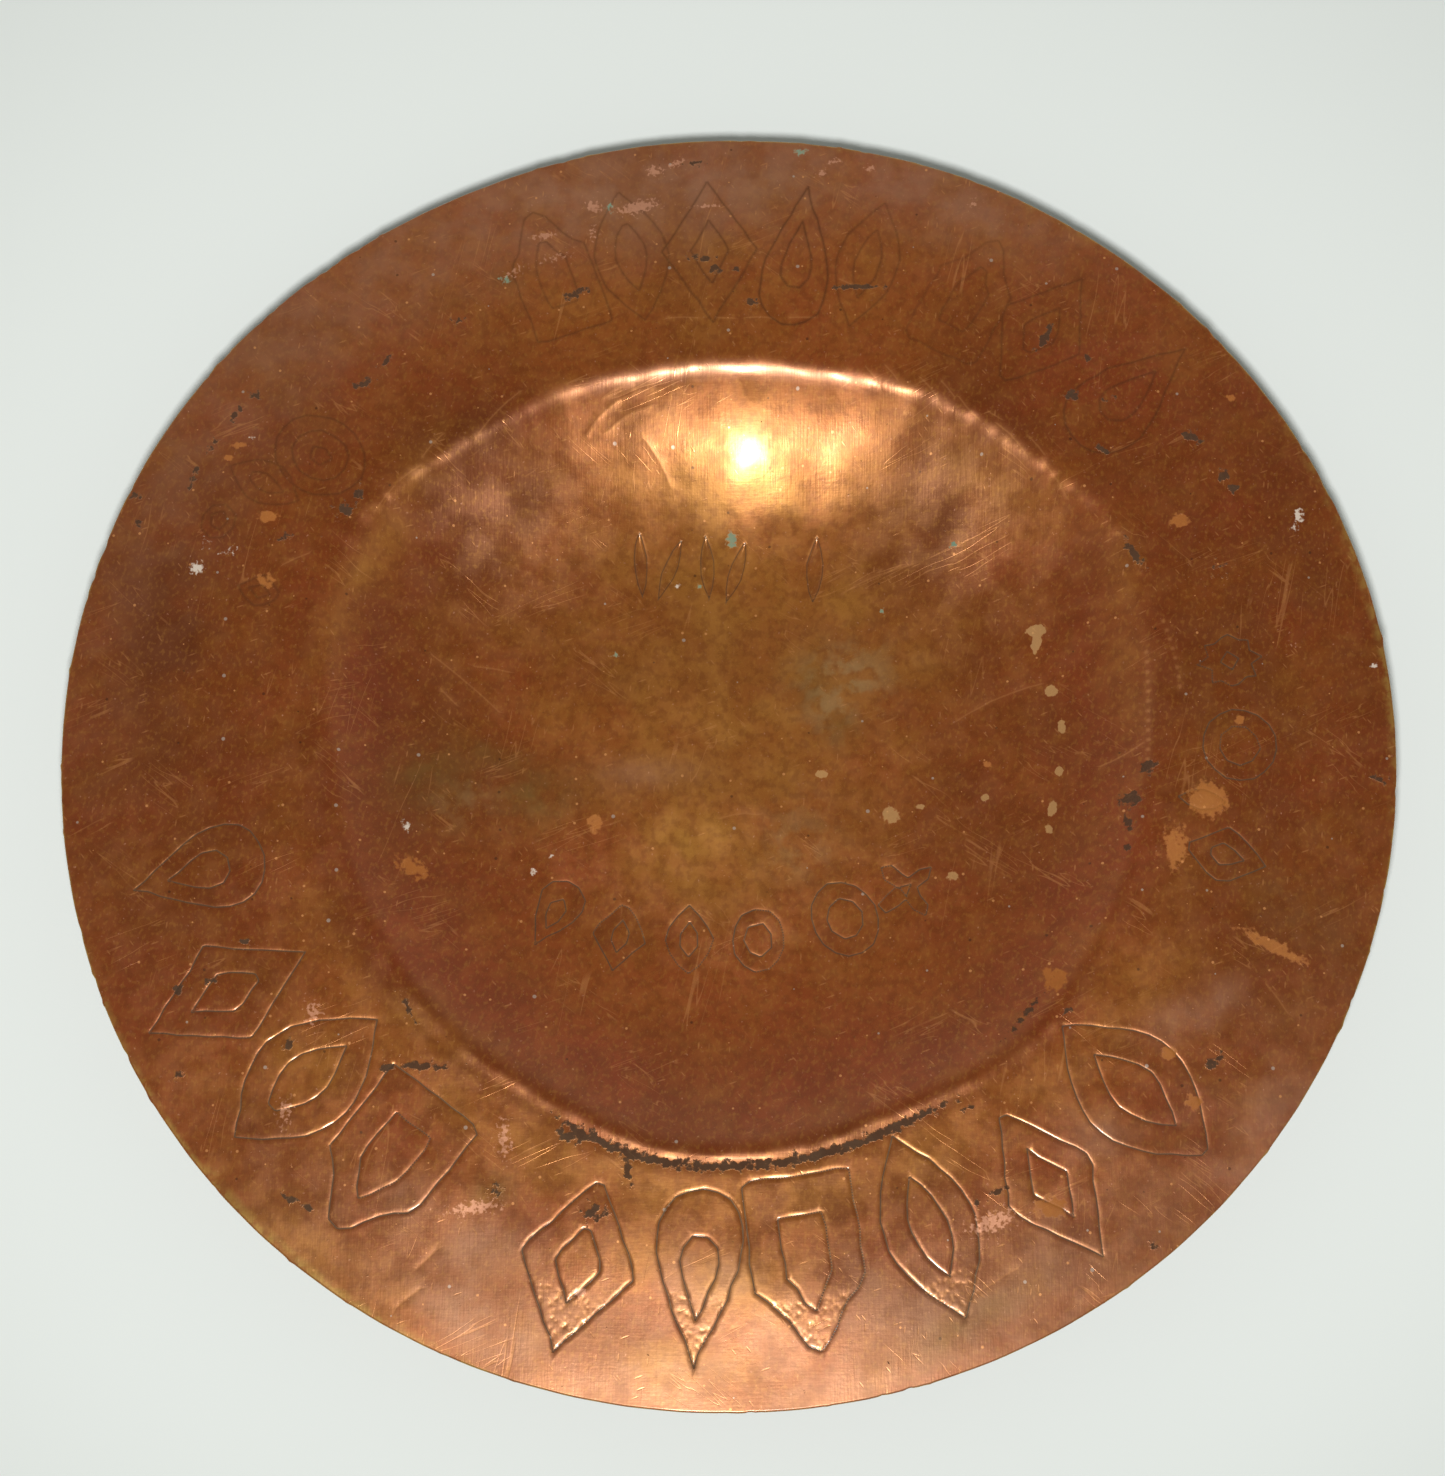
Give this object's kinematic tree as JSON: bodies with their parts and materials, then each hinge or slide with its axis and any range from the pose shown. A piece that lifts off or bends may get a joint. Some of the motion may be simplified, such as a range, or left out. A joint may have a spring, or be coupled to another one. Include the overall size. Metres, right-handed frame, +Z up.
{
  "type": "copper tray",
  "caption": "Round hand-raised copper tray cut from one sheet: shallow dished well, wide flat rim, thin cut edge.",
  "frame": {"origin": "under the centre of the cut disc, on the plane that the underside of the well stands on", "axes": "+Z up out of the well, square to the rim; +X towards the side that the well was sunk 3 mm off centre"},
  "size_m": [0.3048, 0.3048, 0.0174],
  "materials": {
    "copper": "hand-hammered sheet copper, aged brown patina"
  },
  "bodies": {
    "root": {"tray": "copper"}
  },
  "joints": []
}
